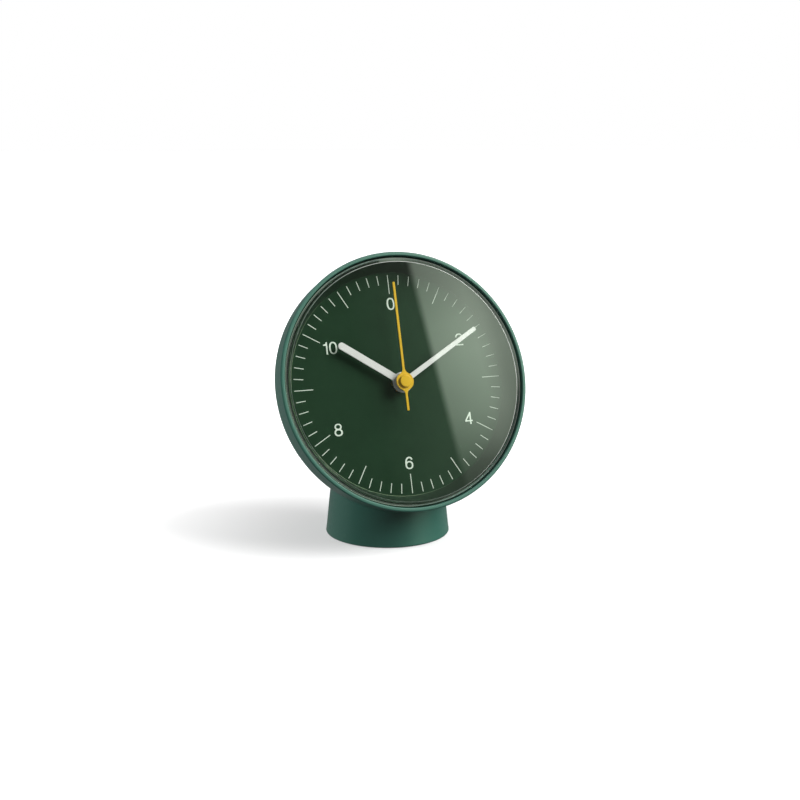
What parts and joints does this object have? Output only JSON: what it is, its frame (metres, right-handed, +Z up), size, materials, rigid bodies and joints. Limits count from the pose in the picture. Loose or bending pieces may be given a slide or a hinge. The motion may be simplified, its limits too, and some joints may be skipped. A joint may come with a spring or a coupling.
{
  "type": "table clock",
  "caption": "Small round green table clock with a tilted head on a short tapered base, flat clear lens, white hour and minute hands and a yellow second hand",
  "frame": {"origin": "centre of the foot pad's underside, on the table", "axes": "+Z up, -Y is the way the dial faces, +X to the right of a person reading the dial"},
  "size_m": [0.125, 0.0977, 0.141],
  "materials": {
    "green_plastic": "satin, fine moulded texture",
    "clear_lens": "clear, polished flat",
    "black_rubber": "matte",
    "green_ring": "satin",
    "green_dial": "fine matte enamel",
    "white_ink": "matte ink",
    "white_hand": "satin white enamel",
    "yellow_hand": "satin yellow enamel",
    "movement_plastic": "moulded",
    "brass": "turned",
    "wheel_plastic": "moulded acetal",
    "steel": "drawn",
    "green_knob": "satin",
    "magnet": "sintered",
    "copper_wire": "enamelled wire",
    "board": "phenolic board",
    "chip_resin": "resin",
    "cover_plastic": "moulded",
    "battery_jacket": "printed film, no text",
    "lead_sheath": "sheathed wire",
    "steel_plate": "powder coat",
    "weight_iron": "as cast",
    "foot_rubber": "matte foam rubber"
  },
  "bodies": {
    "housing": {"head_shell": "green_plastic", "base_pedestal": "green_plastic", "lens": "clear_lens", "lens_gasket": "black_rubber", "chapter_ring": "green_ring", "dial_plate": "green_dial", "dial_minute_marks": "white_ink", "dial_numerals": "white_ink", "movement_washer": "black_rubber", "movement_front_housing": "movement_plastic", "movement_bushing": "brass", "dial_nut": "brass", "movement_middle_plate": "movement_plastic", "movement_rear_housing": "movement_plastic", "stator": "steel", "coil": "copper_wire", "circuit_board": "board", "quartz_crystal": "steel", "timing_chip": "chip_resin", "movement_screws": "steel", "rear_cover": "cover_plastic", "rear_cover_screws": "steel", "battery_box": "movement_plastic", "battery": "battery_jacket", "battery_contact_plus": "steel", "battery_contact_minus": "steel", "battery_leads": "lead_sheath", "neck_screws": "steel", "base_plate": "steel_plate", "base_weight": "weight_iron", "base_screws": "steel", "foot_pad": "foot_rubber"},
    "hour_hand_body": {"hour_hand": "white_hand", "hour_wheel": "wheel_plastic"},
    "minute_hand_body": {"minute_hand": "white_hand", "cannon_pinion": "brass"},
    "second_hand_body": {"second_hand": "yellow_hand", "second_hand_cap": "yellow_hand", "second_wheel": "wheel_plastic"},
    "setting_body": {"minute_wheel": "wheel_plastic", "setting_stem": "steel", "setting_knob": "green_knob"},
    "centre_wheel_body": {"centre_wheel": "wheel_plastic"},
    "third_wheel_body": {"third_wheel": "wheel_plastic"},
    "intermediate_wheel_body": {"intermediate_wheel": "wheel_plastic"},
    "rotor_body": {"rotor_pinion": "wheel_plastic", "rotor_magnet": "magnet"},
    "battery_door_body": {"battery_door": "cover_plastic"}
  },
  "joints": [
    {"name": "minute_hand_turn", "type": "hinge", "parent": "housing", "child": "minute_hand_body", "pos_m": [0, -0.02066, 0.07974], "axis": [0, 0.9516, -0.3074], "continuous": true},
    {"name": "hour_hand_turn", "type": "hinge", "parent": "housing", "child": "hour_hand_body", "pos_m": [0, -0.01875, 0.07912], "axis": [0, 0.9516, -0.3074], "continuous": true},
    {"name": "setting_knob_turn", "type": "hinge", "parent": "housing", "child": "setting_body", "pos_m": [0, 0.0167, 0.08154], "axis": [0, 0.9516, -0.3074], "continuous": true},
    {"name": "second_hand_turn", "type": "hinge", "parent": "housing", "child": "second_hand_body", "pos_m": [0, -0.02256, 0.08035], "axis": [0, 0.9516, -0.3074], "continuous": true},
    {"name": "centre_wheel_turn", "type": "hinge", "parent": "housing", "child": "centre_wheel_body", "pos_m": [0, -0.00848, 0.0758], "axis": [0, 0.9516, -0.3074], "continuous": true},
    {"name": "third_wheel_turn", "type": "hinge", "parent": "housing", "child": "third_wheel_body", "pos_m": [0.0061, -0.01058, 0.06538], "axis": [0, 0.9516, -0.3074], "continuous": true},
    {"name": "intermediate_wheel_turn", "type": "hinge", "parent": "housing", "child": "intermediate_wheel_body", "pos_m": [-0.0126, -0.00353, 0.0742], "axis": [0, 0.9516, -0.3074], "continuous": true},
    {"name": "rotor_turn", "type": "hinge", "parent": "housing", "child": "rotor_body", "pos_m": [-0.01769, -0.007, 0.06997], "axis": [0, 0.9516, -0.3074], "continuous": true},
    {"name": "battery_door_lift", "type": "slide", "parent": "housing", "child": "battery_door_body", "axis": [0, 0.9516, -0.3074], "range_m": [0, 0.025]}
  ],
  "couplings": [
    {"joint": "hour_hand_turn", "follows": "minute_hand_turn", "ratio": 0.083333},
    {"joint": "setting_knob_turn", "follows": "minute_hand_turn", "ratio": -0.33333},
    {"joint": "third_wheel_turn", "follows": "second_hand_turn", "ratio": -0.13333},
    {"joint": "centre_wheel_turn", "follows": "second_hand_turn", "ratio": 0.016667},
    {"joint": "intermediate_wheel_turn", "follows": "second_hand_turn", "ratio": -6},
    {"joint": "rotor_turn", "follows": "second_hand_turn", "ratio": 30}
  ]
}
